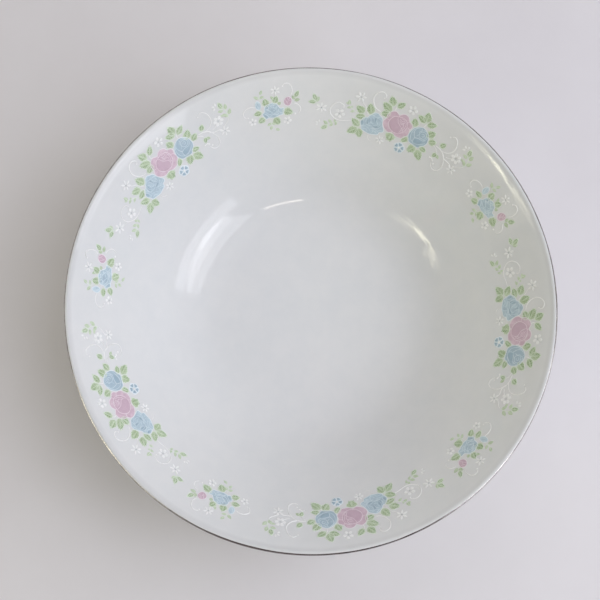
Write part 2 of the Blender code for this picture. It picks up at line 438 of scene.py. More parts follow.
class Drawing:
    """Closed bodies of enamel in film coordinates, with a tone for each vertex."""

    def __init__(self):
        self.points = []
        self.tones = []
        self.faces = []

    def add_body(self, points, tones, faces):
        first = len(self.points)
        self.points += points
        self.tones += tones
        self.faces += [tuple(first + i for i in face) for face in faces]

    def patch(self, outline, height, tone, edge_tone=None, spacing=1.0, bevel=0.14):
        """Filled outline, anticlockwise, domed at its edge and closed underneath."""
        rim = np.array(outline, float)
        if signed_area(rim) < 0:
            rim = rim[::-1]
        inset = rim + bevel * inward_normals(rim)
        inner = [tuple(p) for p in inset]
        count = len(inner)
        low = inset.min(axis=0)
        high = inset.max(axis=0)
        margin = 0.35 * spacing
        x = low[0] + spacing / 2
        while x < high[0]:
            y = low[1] + spacing / 2
            while y < high[1]:
                if inside(inset, x, y) and clearance(inset, x, y) > margin:
                    inner.append((x, y))
                y += spacing
            x += spacing
        flat, _, triangles, *_ = delaunay_2d_cdt(
            [Vector(p) for p in inner], [(i, (i + 1) % count) for i in range(count)],
            [], 1, 1e-4)
        flat = [(p.x, p.y) for p in flat]
        centre = rim.mean(axis=0)
        reach = max(math.dist(p, centre) for p in rim) + 1e-6
        edge_tone = tone if edge_tone is None else edge_tone
        points = []
        tones = []
        for p in flat:
            points.append((p[0], p[1], height))
            share = math.dist(p, centre) / reach
            tones.append(tone + (edge_tone - tone) * share ** 1.6)
        top = len(points)
        for p in rim:
            points.append((p[0], p[1], SUNK))
            tones.append(edge_tone)
        under = len(points)
        for p in flat:
            points.append((p[0], p[1], UNDERSIDE))
            tones.append(edge_tone)
        faces = [tuple(tri) for tri in triangles]
        faces += [tuple(under + i for i in reversed(tri)) for tri in triangles]
        for i, j in border(triangles):
            a = nearest(rim, flat[i])
            b = nearest(rim, flat[j])
            if a == b:
                faces.append((j, i, top + a))
                faces.append((under + i, under + j, top + a))
            else:
                faces.append((j, i, top + a, top + b))
                faces.append((top + b, top + a, under + i, under + j))
        self.add_body(points, tones, faces)

    def stroke(self, route, width, height, tone=0.0, taper=0.45, closed=False, pieces=5):
        """Raised line along a smooth route, narrower at its two ends."""
        line = smooth_route(route, closed, pieces)
        ahead = np.roll(line, -1, axis=0) - np.roll(line, 1, axis=0)
        if not closed:
            ahead[0] = line[1] - line[0]
            ahead[-1] = line[-1] - line[-2]
        ahead /= np.maximum(np.hypot(ahead[:, 0], ahead[:, 1]), 1e-9)[:, None]
        side = np.stack((-ahead[:, 1], ahead[:, 0]), axis=1)
        count = len(line)
        points = []
        for i in range(count):
            share = i / (count - 1)
            slim = 1.0 if closed else taper + (1 - taper) * math.sin(math.pi * share) ** 0.5
            half = width * slim / 2
            for offset, lift in ((-1.0, SUNK), (-0.45, height), (0.45, height), (1.0, SUNK)):
                place = line[i] + side[i] * offset * half
                points.append((place[0], place[1], lift))
        faces = []
        for i in range(count if closed else count - 1):
            a = 4 * i
            b = 4 * ((i + 1) % count)
            for k in range(4):
                n = (k + 1) % 4
                faces.append((a + k, b + k, b + n, a + n))
        if not closed:
            faces.append((0, 1, 2, 3))
            last = 4 * (count - 1)
            faces.append((last + 3, last + 2, last + 1, last))
        self.add_body(points, [tone] * len(points), faces)

    def dot(self, centre, radius, height, tone=0.0, points=10):
        """Small raised bead."""
        self.patch(circle(centre, radius, points), height, tone, spacing=9.0, bevel=radius * 0.35)


def signed_area(ring):
    """Area of a ring, negative when it runs clockwise."""
    nxt = np.roll(ring, -1, axis=0)
    return 0.5 * float(np.sum(ring[:, 0] * nxt[:, 1] - nxt[:, 0] * ring[:, 1]))


def inward_normals(ring):
    """Unit normals that point into an anticlockwise ring."""
    along = np.roll(ring, -1, axis=0) - np.roll(ring, 1, axis=0)
    along /= np.maximum(np.hypot(along[:, 0], along[:, 1]), 1e-9)[:, None]
    return np.stack((-along[:, 1], along[:, 0]), axis=1)


def inside(ring, x, y):
    """Whether a point lies within a ring, by the edges crossed on the way out."""
    nxt = np.roll(ring, -1, axis=0)
    crosses = (ring[:, 1] > y) != (nxt[:, 1] > y)
    span = np.where(crosses, nxt[:, 1] - ring[:, 1], 1.0)
    at = ring[:, 0] + (y - ring[:, 1]) * (nxt[:, 0] - ring[:, 0]) / span
    return bool(np.sum(crosses & (x < at)) % 2)


def clearance(ring, x, y):
    return float(np.min(np.hypot(ring[:, 0] - x, ring[:, 1] - y)))


def nearest(ring, point):
    return int(np.argmin(np.hypot(ring[:, 0] - point[0], ring[:, 1] - point[1])))


def border(triangles):
    """Directed edges that belong to one triangle only."""
    directed = set()
    for tri in triangles:
        for k in range(3):
            directed.add((tri[k], tri[(k + 1) % 3]))
    return [edge for edge in directed if (edge[1], edge[0]) not in directed]


def smooth_route(route, closed=False, pieces=5):
    """Catmull-Rom curve through a few points."""
    pts = np.array(route, float)
    if len(pts) == 2:
        return np.array([pts[0] + (pts[1] - pts[0]) * t for t in np.linspace(0, 1, 4)])
    if closed:
        ring = np.vstack((pts[-1:], pts, pts[:2]))
    else:
        ring = np.vstack((2 * pts[0] - pts[1], pts, 2 * pts[-1] - pts[-2]))
    result = []
    for i in range(1, len(ring) - 2):
        p0, p1, p2, p3 = ring[i - 1:i + 3]
        for k in range(pieces):
            t = k / pieces
            result.append(0.5 * (2 * p1 + (p2 - p0) * t
                                 + (2 * p0 - 5 * p1 + 4 * p2 - p3) * t**2
                                 + (3 * p1 - p0 - 3 * p2 + p3) * t**3))
    if not closed:
        result.append(pts[-1])
    return np.array(result)


def circle(centre, radius, points):
    return [(centre[0] + radius * math.cos(math.tau * i / points),
             centre[1] + radius * math.sin(math.tau * i / points)) for i in range(points)]


def polar(centre, angle, distance):
    return (centre[0] + distance * math.cos(math.radians(angle)),
            centre[1] + distance * math.sin(math.radians(angle)))


def turned(centre, angle, flat):
    """Points drawn along +X, turned by the angle and moved to the centre."""
    cos = math.cos(math.radians(angle))
    sin = math.sin(math.radians(angle))
    return [(centre[0] + x * cos - y * sin, centre[1] + x * sin + y * cos) for x, y in flat]


def oval(centre, angle, length, width, points=12, sharpness=1.0):
    """Oval or almond outline; a higher sharpness draws its two ends out to points."""
    flat = []
    for i in range(points):
        turn = math.tau * i / points
        x = length / 2 * math.cos(turn)
        y = width / 2 * math.copysign(abs(math.sin(turn)) ** sharpness, math.sin(turn))
        flat.append((x, y))
    return turned(centre, angle, flat)


# ---- Motifs, in film millimetres ----
FILL = 0.045  # heights above the glaze, mm
TINT = 0.075
LINE = 0.12
RELIEF = 0.17
HALO = -0.1  # tone of the nearly white outlines
PALE = 0.12  # tone of the pale lines inside a motif
PETAL = 0.1  # tone of the white blossoms' petals
LEAF_GROWTH = (1.12, 1.18)  # a drawn leaf's length and width over the stated ones
NARROW_LEAF = 1.7  # leaves slimmer than this, in mm, have only a midrib


class Spray:
    """The drawings of one spray, one for each enamel."""

    def __init__(self):
        self.blue = Drawing()
        self.pink = Drawing()
        self.green = Drawing()
        self.white = Drawing()


def petal_flower(art, centre, radius, petals, phase, pointed):
    """White blossom with round or pointed petals and a bare centre with a grey dot."""
    for k in range(petals):
        angle = phase + 360 * k / petals
        if pointed:
            place = polar(centre, angle, radius * 0.60)
            art.white.patch(oval(place, angle, radius * 0.84, radius * 0.38, 12, 1.4),
                            RELIEF, PETAL, spacing=1.4)
        else:
            place = polar(centre, angle, radius * 0.62)
            art.white.patch(oval(place, angle, radius * 0.66, radius * 0.60, 12),
                            RELIEF, PETAL, spacing=1.4)
    art.white.dot(centre, radius * 0.13, LINE, 1.0, 8)


def half_blossom(art, centre, radius, facing):
    """Bud of three short petals."""
    for turn in (-62, 0, 62):
        place = polar(centre, facing + turn, radius * 0.6)
        art.white.patch(oval(place, facing + turn, radius * 0.72, radius * 0.44, 10),
                        RELIEF, PETAL, spacing=1.4)


def leaf_outline(centre, angle, length, width, teeth):
    """Pointed leaf whose base is at its far side, with small teeth on its edge."""
    sides = []
    count = 9
    for side in (1, -1):
        edge = []
        for i in range(1, count):
            s = i / count
            half = width / 2 * math.sin(math.pi * s ** 0.80)
            if i % 2:
                half *= 1 + teeth
            edge.append((-length / 2 + length * s, side * half))
        sides.append(edge)
    flat = [(-length / 2, 0.0)] + sides[0] + [(length / 2, 0.0)] + sides[1][::-1]
    return turned(centre, angle, flat)


def leaf(art, centre, angle, length, width, tone=0.45):
    """Leaf with a pale outline, a midrib, side veins and darker blades between them."""
    length *= LEAF_GROWTH[0]
    width *= LEAF_GROWTH[1]
    art.green.patch(leaf_outline(centre, angle, length, width, 0.26), FILL, tone,
                    edge_tone=tone - 0.08, spacing=0.9, bevel=0.1)
    tip = polar(centre, angle, length / 2)
    base = polar(centre, angle + 180, length / 2)
    if width < NARROW_LEAF:
        art.green.stroke((base, tip), 0.16, TINT, HALO)
        return
    ring = leaf_outline(centre, angle, length + 0.5, width + 0.5, 0.18)
    art.green.stroke(ring, 0.34, LINE, HALO, closed=True, pieces=2)
    art.green.stroke((base, polar(centre, angle, length * 0.34)), 0.26, LINE, PALE)
    for share in (-0.2, 0.04, 0.26):
        root = polar(centre, angle, length * share)
        for side, extra in ((38, 0.52), (-38, 0.25)):
            reach = width * (0.46 - 0.42 * abs(share))
            art.green.stroke((root, polar(root, angle + side, reach)), 0.2, TINT, PALE)
            blade = polar(polar(root, angle + side, reach * 0.9), angle + 180, 0.45)
            art.green.patch(oval(blade, angle + side, reach * 1.0, 0.55, 8), TINT - 0.01,
                            tone + extra, spacing=2.0, bevel=0.06)


def twig(art, stem, leaves, tint=0.35):
    """Thin stem with small narrow leaves, each (centre, angle, length)."""
    art.green.stroke(stem, 0.40, TINT, HALO, taper=0.6)
    for centre, angle, length in leaves:
        leaf(art, centre, angle, length, length * 0.48, tint)


def scroll(art, route, width=0.52, dot=None):
    """Raised white line with a bead at its end."""
    art.white.stroke(route, width, RELIEF, 0.0, taper=0.5, pieces=7)
    if dot:
        art.white.dot(dot, width * 0.78, RELIEF + 0.03, 0.0, 10)


def rose(drawing, outline, tone, edge_tone, lines, deep, deep_tone, width=0.36):
    """Rose: a filled outline, deeper petals, and pale raised petal edges."""
    ring = smooth_route(outline, True, 4)
    drawing.patch(ring, FILL, tone, edge_tone, spacing=1.0)
    for shape, shape_tone in zip(deep, deep_tone):
        drawing.patch(smooth_route(shape, True, 4), TINT, shape_tone, spacing=1.0, bevel=0.12)
    drawing.stroke(outline, 0.5, LINE, HALO, closed=True, pieces=4)
    for route in lines:
        drawing.stroke(route, width, LINE, PALE, taper=0.6)


PINK_ROSE = (
    (-7.2, 0.6), (-6.3, 2.4), (-6.2, 4.8), (-4.6, 6.9), (-2.9, 7.6), (-0.9, 6.6),
    (0.3, 7.6), (2.0, 8.1), (3.8, 7.4), (4.9, 5.6), (6.4, 5.2), (7.1, 3.4), (6.6, 1.6),
    (6.9, -0.6), (5.9, -2.8), (4.4, -4.5), (1.8, -4.9), (-0.4, -4.3), (-1.5, -4.3),
    (-3.4, -4.4), (-5.5, -3.2), (-6.9, -1.4),
)
PINK_HEART = (
    (-4.5, 1.0), (-4.1, 3.0), (-2.8, 4.9), (-0.8, 5.6), (1.6, 5.9), (3.6, 5.0),
    (4.6, 3.2), (4.7, 1.0), (3.8, -1.4), (2.0, -2.9), (-0.4, -3.2), (-2.6, -2.3),
    (-4.0, -0.7),
)
PINK_BOWL = (
    (-4.0, 1.0), (-3.4, 3.3), (-1.9, 4.9), (-1.0, 4.6), (-0.5, 3.2), (0.6, 1.9),
    (2.0, 0.9), (2.4, -0.8), (1.4, -2.5), (-0.6, -2.8), (-2.6, -1.9), (-3.7, -0.4),
)
PINK_LINES = (
    ((-6.3, 2.4), (-4.3, 2.1)),
    ((-1.0, 6.6), (-0.5, 5.7)),
    ((4.8, 5.6), (4.2, 4.6)),
    ((6.6, 1.7), (5.7, 2.2), (4.7, 2.4)),
    ((-1.3, -4.3), (-1.2, -3.1)),
    ((-1.2, 5.3), (-0.7, 4.0), (0.0, 2.6), (1.2, 1.6), (2.3, 0.8), (2.6, -0.8), (1.9, -2.6)),
    ((0.0, 4.9), (1.2, 4.2), (2.2, 4.3), (2.8, 5.0)),
    ((0.2, 3.9), (1.4, 3.2), (2.6, 3.5), (3.2, 4.6)),
    ((0.8, 5.4), (2.0, 5.3), (2.9, 5.6)),
    ((0.6, 2.9), (1.8, 2.5), (2.7, 2.9)),
    ((2.4, 3.2), (3.1, 1.8), (2.6, 0.4)),
    ((3.5, 4.4), (4.0, 2.6), (3.6, 0.6), (2.7, -0.6)),
    ((3.3, 0.2), (3.6, -0.9), (2.4, -2.4)),
)
OPEN_ROSE = (
    (-18.2, -4.4), (-17.9, -2.6), (-16.7, -1.0), (-15.0, -0.3), (-14.2, 1.2),
    (-12.8, 2.6), (-10.9, 3.3), (-9.4, 2.4), (-8.1, 1.6), (-7.4, 0.0), (-7.0, -1.6),
    (-6.2, -3.2), (-5.3, -4.9), (-5.9, -6.1), (-7.2, -6.6), (-7.8, -8.2), (-9.8, -8.7),
    (-11.8, -9.2), (-14.0, -8.8), (-16.6, -7.9), (-17.2, -6.5),
)
OPEN_LINES = (
    ((-14.4, 0.6), (-12.9, 1.3), (-11.2, 2.6)),
    ((-12.9, 1.6), (-11.0, 0.9), (-9.0, 1.6)),
    ((-10.6, 0.6), (-8.8, 0.4), (-7.6, -0.4)),
    ((-15.2, -0.6), (-15.6, -2.4), (-15.0, -4.2)),
    ((-14.4, -0.2), (-14.6, -2.0), (-13.9, -3.9)),
    ((-13.6, -0.4), (-13.0, -1.8), (-13.2, -3.2)),
    ((-12.6, 0.2), (-11.6, -0.6), (-11.2, -2.2)),
    ((-12.6, -2.4), (-12.0, -3.2), (-11.2, -2.9)),
    ((-10.4, 0.2), (-10.2, -1.2), (-9.2, -2.6), (-9.0, -3.9)),
    ((-8.6, -0.6), (-8.2, -2.2), (-8.6, -3.6)),
    ((-15.0, -4.3), (-13.2, -4.6), (-11.4, -4.2), (-9.4, -3.4)),
    ((-17.2, -2.4), (-16.2, -4.0), (-16.3, -5.6)),
    ((-7.2, -2.6), (-8.0, -4.2), (-9.6, -5.2), (-11.6, -5.0)),
    ((-17.4, -6.2), (-15.2, -5.6), (-13.2, -6.2), (-12.0, -7.4)),
    ((-15.4, -5.4), (-14.6, -4.4)),
    ((-12.4, -6.0), (-10.4, -5.6), (-8.6, -6.2), (-7.2, -6.5)),
    ((-10.8, -6.0), (-10.6, -7.4), (-11.4, -8.8)),
    ((-16.8, -7.4), (-14.6, -7.0), (-13.2, -8.2)),
    ((-9.8, -6.8), (-8.6, -7.4), (-8.2, -8.2)),
    ((-6.0, -5.0), (-7.6, -5.6), (-8.8, -5.4)),
)
OPEN_DEEP = (
    ((-14.9, -0.9), (-13.9, -0.6), (-13.5, -2.4), (-14.0, -3.9), (-15.0, -3.7)),
    ((-12.4, -3.6), (-10.2, -4.0), (-8.9, -2.9), (-8.8, -4.6), (-11.0, -4.9)),
    ((-17.9, -3.3), (-17.0, -2.5), (-16.5, -4.2), (-17.2, -5.4)),
    ((-11.6, 0.2), (-10.7, 0.3), (-10.6, -1.6), (-11.4, -2.2)),
)
TIGHT_ROSE = (
    (7.0, -0.6), (7.3, 1.8), (8.1, 3.9), (9.6, 5.4), (11.8, 6.4), (13.6, 6.0),
    (15.0, 5.2), (16.2, 4.0), (16.8, 2.4), (17.2, 0.6), (16.8, -1.2), (15.6, -2.9),
    (14.4, -4.4), (12.6, -4.9), (10.8, -4.3), (9.2, -4.2), (7.8, -3.0),
)
TIGHT_LINES = (
    ((9.9, 5.2), (8.6, 3.6), (8.0, 1.6), (8.2, -0.6), (9.2, -2.4), (10.9, -3.4)),
    ((10.9, -3.4), (12.9, -3.2), (14.9, -1.9), (16.6, -0.2)),
    ((10.8, 5.6), (9.3, 4.2), (9.0, 2.4), (9.7, 0.6), (10.6, -0.4), (12.6, 0.2),
     (14.8, 0.2), (16.2, 1.4)),
    ((10.5, -0.6), (10.3, -2.0), (10.6, -3.2)),
    ((11.7, 2.8), (12.3, 4.1), (13.7, 4.6), (15.0, 3.8), (15.3, 2.5), (14.6, 1.2),
     (13.2, 0.9), (12.1, 1.5), (11.7, 2.6)),
    ((12.7, 2.9), (13.4, 3.6), (14.2, 3.0), (13.9, 2.1), (13.1, 2.2)),
    ((11.4, 5.9), (12.1, 4.8), (11.4, 3.6), (11.7, 2.4), (10.9, 1.0)),
    ((12.4, 5.3), (14.0, 5.4), (15.6, 4.2)),
    ((16.0, 3.6), (15.9, 1.9), (14.9, 0.6)),
)
TIGHT_DEEP = (
    ((10.6, -0.7), (12.4, -0.2), (14.6, -0.2), (14.4, -1.7), (12.6, -2.9), (10.8, -2.9)),
    ((7.5, -0.4), (7.8, 1.6), (7.7, -1.6)),
    ((11.6, -3.7), (13.4, -3.5), (14.6, -3.0), (13.8, -4.3), (12.3, -4.5)),
)


def small_blue_flower(art, centre, radius):
    """Five blue petals with a pale outline, pale rays between them and a white eye."""
    outline = []
    for k in range(30):
        angle = 90 + 12 * k
        wave = 1 + 0.06 * math.cos(math.radians(5 * 12 * k))
        outline.append(polar(centre, angle, radius * wave))
    art.blue.patch(outline, FILL, 0.1, edge_tone=HALO, spacing=1.2)
    for k in range(5):
        angle = 90 + 72 * k
        petal = [polar(centre, angle + turn, radius * reach) for turn, reach in (
            (-20, 0.32), (-28, 0.60), (-25, 0.80), (-9, 0.84), (0, 0.76), (9, 0.84), (25, 0.80),
            (28, 0.60), (20, 0.32))]
        art.blue.patch(smooth_route(petal, True, 2), TINT, 0.85, edge_tone=0.62,
                       spacing=1.0, bevel=0.12)
    art.white.dot(centre, radius * 0.17, RELIEF, 0.0)


LARGE_LEAVES = (  # centre, angle, length, width
    ((-6.2, 11.6), 118, 4.2, 2.6), ((-1.8, 11.3), 48, 4.0, 2.0), ((-7.6, 8.1), 148, 5.0, 3.0),
    ((-7.4, 4.5), 205, 3.8, 2.7), ((-14.8, 4.3), 108, 5.2, 2.9), ((-19.6, 2.7), 150, 4.4, 2.9),
    ((-18.9, -1.1), 192, 4.4, 2.5), ((-20.5, -4.9), 143, 5.0, 2.7),
    ((-21.4, -9.7), 216, 5.4, 3.0), ((-17.4, -10.3), 288, 4.6, 3.0),
    ((-1.1, -6.5), 266, 4.3, 3.8), ((6.3, -4.3), 238, 3.8, 2.2), ((7.2, 6.6), 112, 3.8, 2.6),
    ((11.4, 11.9), 104, 4.3, 2.6), ((9.4, 9.9), 158, 4.2, 2.2), ((14.8, 9.7), 32, 4.2, 2.2),
    ((16.8, 5.6), 52, 4.2, 2.8), ((19.2, 2.4), 36, 3.6, 2.5), ((17.0, -3.8), -8, 3.6, 2.1),
    ((11.7, -6.9), 240, 4.7, 3.2), ((16.5, -7.9), -48, 5.5, 3.2), ((24.4, 4.5), 58, 3.0, 1.9),
    ((23.5, -2.6), 252, 2.6, 1.5), ((25.3, -2.3), -38, 2.4, 1.3),
)


LARGE_STALKS = (  # route, width
    (((28.9, 0.6), (30.4, 1.2), (31.4, 1.9)), 0.34),
    (((34.6, -1.2), (35.4, 0.0), (37.4, 1.5), (38.3, 3.0)), 0.36),
    (((-12.4, -9.9), (-12.3, -11.2), (-11.4, -12.2), (-9.9, -12.7)), 0.36),
    (((-19.9, 7.9), (-19.0, 6.3), (-17.4, 4.9), (-16.4, 2.6), (-15.0, 0.9)), 0.32),
    (((-3.3, 9.9), (-3.7, 8.7), (-3.3, 7.6)), 0.4),
    (((12.8, 9.2), (12.2, 8.0), (12.1, 6.8)), 0.4),
    (((20.3, 1.6), (22.4, 0.8), (23.6, -0.9)), 0.32),
    (((14.0, -5.0), (13.4, -5.9)), 0.3),
)
LARGE_BLOSSOMS = (  # centre, radius, petals, angle of the first, pointed
    ((3.8, 11.5), 2.5, 5, 80, False), ((-29.4, -1.7), 2.9, 5, 62, False),
    ((33.1, 3.6), 2.9, 6, 0, False), ((-5.6, -10.4), 2.6, 6, 55, True),
    ((-38.8, 0.4), 3.0, 6, 28, True), ((-20.7, 9.0), 2.7, 6, 5, True),
    ((34.6, -2.8), 2.7, 6, 30, True),
)


def large_spray():
    """Two blue roses, a pink one between them, leaves, twigs, blossoms and scrolls."""
    art = Spray()
    for placed in LARGE_LEAVES:
        leaf(art, *placed)
    rose(art.blue, OPEN_ROSE, 0.42, 0.36, OPEN_LINES, OPEN_DEEP, (0.8,) * 4, 0.32)
    rose(art.blue, TIGHT_ROSE, 0.55, 0.5, TIGHT_LINES, TIGHT_DEEP, (0.85, 0.8, 0.7))
    rose(art.pink, PINK_ROSE, 0.48, 0.42, PINK_LINES, (PINK_HEART, PINK_BOWL), (0.58, 0.62), 0.42)
    art.pink.stroke(PINK_HEART, 0.46, LINE, PALE, closed=True)
    small_blue_flower(art, (5.7, -9.8), 3.2)

    for blossom in LARGE_BLOSSOMS:
        petal_flower(art, *blossom)
    half_blossom(art, (34.3, 10.6), 2.2, 150)
    half_blossom(art, (-39.6, -8.4), 2.2, 150)

    scroll(art, ((-22.8, -4.6), (-25.5, -5.0), (-28.5, -5.6), (-31.6, -4.8), (-34.0, -2.4),
                 (-34.4, 0.4), (-33.0, 3.0), (-30.6, 4.2), (-28.6, 3.6), (-27.7, 2.6)),
           dot=(-27.9, 2.1))
    scroll(art, ((-10.0, 4.6), (-12.2, 5.4), (-14.2, 7.6), (-14.9, 10.4), (-13.9, 13.0),
                 (-11.8, 14.2), (-9.9, 13.4), (-9.6, 12.0)), dot=(-10.2, 11.5))
    scroll(art, ((21.5, 2.2), (24.0, 2.0), (26.8, 0.9), (28.6, -0.8), (32.2, -1.0),
                 (33.6, -1.9)))
    scroll(art, ((25.6, 1.7), (28.4, 3.0), (30.0, 5.6), (29.8, 8.4), (28.6, 10.6),
                 (27.0, 11.6), (25.6, 11.0)), dot=(24.9, 10.2))
    scroll(art, ((26.8, 0.6), (28.8, -1.6), (30.0, -4.2), (30.0, -7.0), (28.6, -9.0),
                 (26.6, -9.3), (25.0, -8.2), (24.4, -6.8)))
    scroll(art, ((22.4, -4.9), (23.4, -4.8), (24.3, -5.6)), 0.6, dot=(22.2, -5.0))
    art.white.dot((24.4, -5.6), 0.5, RELIEF)
    art.white.dot((25.8, -6.9), 0.5, RELIEF)
    for route, width in LARGE_STALKS:
        scroll(art, route, width)

    twig(art, ((-41.2, 2.9), (-40.4, 2.0), (-39.6, 1.4)), (
        ((-42.3, 5.8), 112, 3.4), ((-40.8, 4.9), 68, 2.8), ((-43.4, 3.5), 182, 3.2)))
    twig(art, ((-25.8, 6.0), (-25.3, 3.6), (-23.2, 1.8), (-20.8, 0.1)), (
        ((-25.6, 5.2), 100, 2.7), ((-25.3, 2.4), 196, 2.2), ((-23.4, 0.6), 205, 2.2),
        ((-26.4, 4.4), 150, 1.8), ((-24.0, 3.0), 60, 1.6)))
    twig(art, ((-29.2, -6.2), (-31.8, -7.1), (-34.0, -8.6), (-36.2, -9.5)), (
        ((-36.1, -7.7), 140, 2.9), ((-36.6, -10.5), 205, 3.4), ((-33.8, -6.8), 130, 2.6),
        ((-33.0, -8.9), 232, 2.4), ((-31.3, -6.3), 110, 2.0), ((-30.6, -7.9), 250, 2.0)))
    twig(art, ((38.2, 2.9), (38.6, 5.0), (38.2, 7.4), (37.0, 9.4)), (
        ((36.4, 10.4), 105, 3.2), ((38.6, 9.2), 82, 2.8), ((35.7, 7.8), 172, 2.6),
        ((37.3, 5.0), 130, 2.8), ((39.8, 6.2), 62, 3.0), ((35.9, 5.4), 160, 2.0)))
    return art


SMALL_ROSE = (
    (-5.0, -0.8), (-4.0, 0.2), (-3.8, 1.8), (-3.0, 3.4), (-1.4, 3.9), (0.6, 4.3),
    (2.4, 3.6), (3.3, 2.2), (4.2, 0.9), (5.8, 0.9), (5.9, -0.6), (5.0, -2.6),
    (3.6, -2.9), (2.2, -3.4), (0.6, -3.9), (-1.2, -3.7), (-2.4, -3.5), (-3.6, -3.9),
    (-4.6, -2.6),
)
SMALL_LINES = (
    ((-4.6, -0.6), (-3.4, -1.2), (-2.2, -2.8), (-2.0, -3.5)),
    ((-3.6, 0.4), (-2.4, -0.9), (-1.2, -1.6), (0.1, -1.2)),
    ((-2.9, 1.4), (-1.2, 0.2), (0.1, -1.1)),
    ((-2.2, 3.2), (-1.4, 2.0), (-2.3, 1.2)),
    ((-1.0, 3.7), (-0.4, 2.6), (0.5, 3.4), (1.2, 2.6)),
    ((-1.0, 1.6), (0.4, 2.2), (1.6, 1.3), (2.4, 2.4)),
    ((0.1, -0.2), (1.6, 0.6), (2.8, 2.0)),
    ((0.3, -1.2), (1.6, -1.6), (2.8, -0.6), (3.4, 0.8)),
    ((-1.4, -3.3), (-0.6, -2.2), (1.0, -2.0), (2.4, -2.4), (3.2, -1.2)),
    ((3.1, -0.4), (3.9, -1.4), (5.2, -1.8)),
    ((2.4, 0.9), (2.2, -0.4), (1.2, -1.3)),
)
SMALL_DEEP = (
    ((-2.8, 3.0), (-1.6, 3.4), (-1.5, 2.2), (-2.6, 1.6)),
    ((-3.3, 0.0), (-1.8, -0.4), (-0.4, -1.1), (-1.6, -1.3), (-2.6, -0.8)),
    ((-4.3, -1.1), (-3.4, -1.5), (-2.4, -2.9), (-3.4, -3.3), (-4.2, -2.4)),
)
SMALL_LEAVES = (  # centre, angle, length, width
    ((-2.7, 5.1), 97, 3.8, 2.5), ((-7.3, 0.1), 184, 3.6, 2.1), ((-6.0, -4.0), 208, 3.6, 2.4),
    ((1.8, -6.0), 300, 4.2, 3.0), ((7.9, -1.4), -22, 4.6, 3.0), ((2.2, 5.7), 68, 3.6, 2.2),
    ((3.9, 3.6), 40, 1.9, 1.3), ((0.7, 6.9), 122, 2.4, 1.1), ((12.5, 7.6), 62, 3.2, 1.5),
    ((12.7, 4.6), 12, 2.8, 1.4), ((10.8, 6.0), 110, 2.2, 1.3),
)


SMALL_BLOSSOMS = (  # centre, radius, petals, angle of the first, pointed
    ((2.5, 10.3), 2.4, 6, 30, True), ((-10.7, -3.8), 2.3, 5, 90, False),
    ((7.3, -6.3), 2.4, 5, 60, False),
)


def bud(drawing, outline, lines, tone):
    """Closed rose with a pale outline and a few pale petal lines."""
    ring = smooth_route(outline, True, 4)
    drawing.patch(ring, FILL, tone, tone - 0.15, spacing=0.9)
    drawing.stroke(outline, 0.42, LINE, HALO, closed=True, pieces=4)
    for route in lines:
        drawing.stroke(route, 0.32, LINE, PALE)


def small_spray():
    """One blue rose with a pink and a blue bud, leaves, blossoms and scrolls."""
    art = Spray()
    for placed in SMALL_LEAVES:
        leaf(art, *placed)
    rose(art.blue, SMALL_ROSE, 0.42, 0.34, SMALL_LINES, SMALL_DEEP, (0.64,) * 3, 0.46)
    bud(art.pink, ((6.1, 4.4), (6.4, 2.8), (7.6, 1.9), (8.9, 2.0), (9.8, 3.4), (10.0, 5.0),
                   (9.2, 6.3), (7.9, 6.5), (6.8, 5.8)),
        (((6.9, 5.6), (7.4, 4.0), (8.2, 2.6)), ((7.8, 6.3), (8.4, 5.0), (9.6, 4.4)),
         ((8.2, 4.6), (8.0, 3.4)), ((8.9, 6.2), (9.2, 5.2))), 0.6)
    bud(art.blue, ((-7.9, 4.0), (-7.2, 2.5), (-6.1, 2.1), (-5.3, 3.2), (-5.2, 5.0),
                   (-6.2, 6.6), (-7.4, 6.2)),
        (((-7.2, 5.8), (-6.8, 4.0), (-6.2, 2.6)), ((-6.2, 6.2), (-5.8, 4.4))), 0.34)

    for blossom in SMALL_BLOSSOMS:
        petal_flower(art, *blossom)

    scroll(art, ((-8.2, 3.7), (-10.3, 4.4), (-12.6, 4.0), (-14.3, 2.4), (-14.3, 0.5),
                 (-13.4, -0.8)), dot=(-12.6, -0.8))
    scroll(art, ((9.6, 7.0), (10.4, 9.2), (10.1, 11.6), (8.9, 13.1), (7.3, 13.3),
                 (6.3, 12.7)), dot=(6.1, 12.1))
    scroll(art, ((11.2, 3.0), (13.0, 2.1), (14.2, 0.4), (14.1, -1.5), (13.2, -2.8)))
    art.white.dot((11.4, -2.9), 0.55, RELIEF)
    scroll(art, ((2.5, 8.2), (2.4, 7.2)), 0.3)

    twig(art, ((-5.0, 6.6), (-5.4, 8.2), (-4.8, 9.4), (-4.2, 10.8)), (
        ((-6.8, 8.6), 140, 2.6), ((-4.0, 8.2), 20, 2.2), ((-4.1, 10.7), 62, 2.4)))
    twig(art, ((-1.4, -4.6), (-1.3, -6.8), (-0.5, -8.8), (0.8, -10.3)), (
        ((-2.5, -7.2), 208, 2.5), ((0.1, -7.3), -38, 2.4), ((-1.7, -9.4), 248, 2.4),
        ((1.8, -10.9), -28, 2.6)))
    return art


# ---- Pieces ----
BODY_STEPS = 384  # round the bowl
LINE_STEPS = 720
LINE_ACROSS = 9  # points across the platinum line
LINE_LIFT = 0.035  # its film stands this far off the glaze and sinks as far in, mm
LINE_EDGE_LIFT = 0.004
LINE_EDGES = (66.0, -24.0)  # inner and outer edge, in degrees round the lip
EDGE_WANDER = 0.7  # how much of the inner edge's wander the outer edge has
BODY_CREASE = math.radians(34)  # a sharper edge is not shaded smooth
FILM_CREASE = math.radians(50)  # and on the films


def link(piece):
    bpy.context.scene.collection.objects.link(piece)
    return piece


